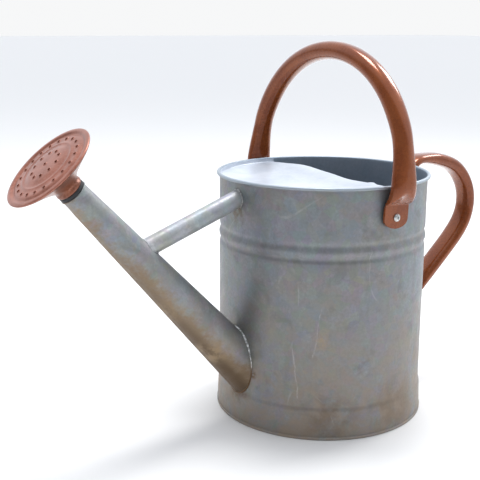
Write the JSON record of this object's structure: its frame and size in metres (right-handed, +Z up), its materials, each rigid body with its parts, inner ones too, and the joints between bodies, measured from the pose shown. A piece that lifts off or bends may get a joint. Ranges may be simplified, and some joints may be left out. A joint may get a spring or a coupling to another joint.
{
  "type": "watering can",
  "caption": "Round galvanised watering can with a hooped carrying handle, a rear handle, a half cover and a copper rose on a braced spout.",
  "frame": {"origin": "centre of the foot's circle, on the ground", "axes": "+Z up, the spout points to -X, the rear handle is on +X, the carrying handle swings about Y"},
  "size_m": [0.4963, 0.2218, 0.3393],
  "materials": {
    "galvanised": "weathered galvanised sheet, semi-matt, brown staining low down",
    "bright_zinc": "clean galvanised sheet, bright and satin",
    "wire": "plain steel wire",
    "solder": "lumpy solder, dull with bright spots",
    "copper_tube": "copper-brown lacquer, semi-gloss",
    "copper_rose": "light copper plating, satin",
    "rubber": "matt black",
    "zinc_fasteners": "zinc plated"
  },
  "bodies": {
    "can": {"body_wall": "galvanised", "rim_wire": "wire", "base_pan": "galvanised", "splash_hood": "bright_zinc", "spout_tube": "galvanised", "spout_solder": "solder", "strut_tube": "galvanised", "strut_body_solder": "solder", "strut_spout_solder": "solder", "rear_handle": "copper_tube", "rear_handle_bolts": "zinc_fasteners", "rear_handle_seals": "rubber", "rear_handle_washers": "zinc_fasteners", "rear_handle_nuts": "zinc_fasteners", "bail_bolts": "zinc_fasteners", "bail_seals": "rubber", "bail_washers": "zinc_fasteners", "bail_nuts": "zinc_fasteners"},
    "bail": {"bail_handle": "copper_tube"},
    "seal": {"rose_seal": "rubber"},
    "rose": {"rose_spigot": "copper_rose", "rose_funnel": "copper_rose", "rose_face": "copper_rose"}
  },
  "joints": [
    {"name": "bail_swing", "type": "hinge", "parent": "can", "child": "bail", "pos_m": [0, 0, 0.1958], "axis": [0, 1, 0], "range_deg": [-86, 67]},
    {"name": "rose_turn", "type": "hinge", "parent": "can", "child": "seal", "pos_m": [-0.2461, 0, 0.2249], "axis": [-0.6734, 0, 0.7393], "continuous": true},
    {"name": "rose_pull", "type": "slide", "parent": "seal", "child": "rose", "axis": [-0.6734, 0, 0.7393], "range_m": [0, 0.02]}
  ]
}
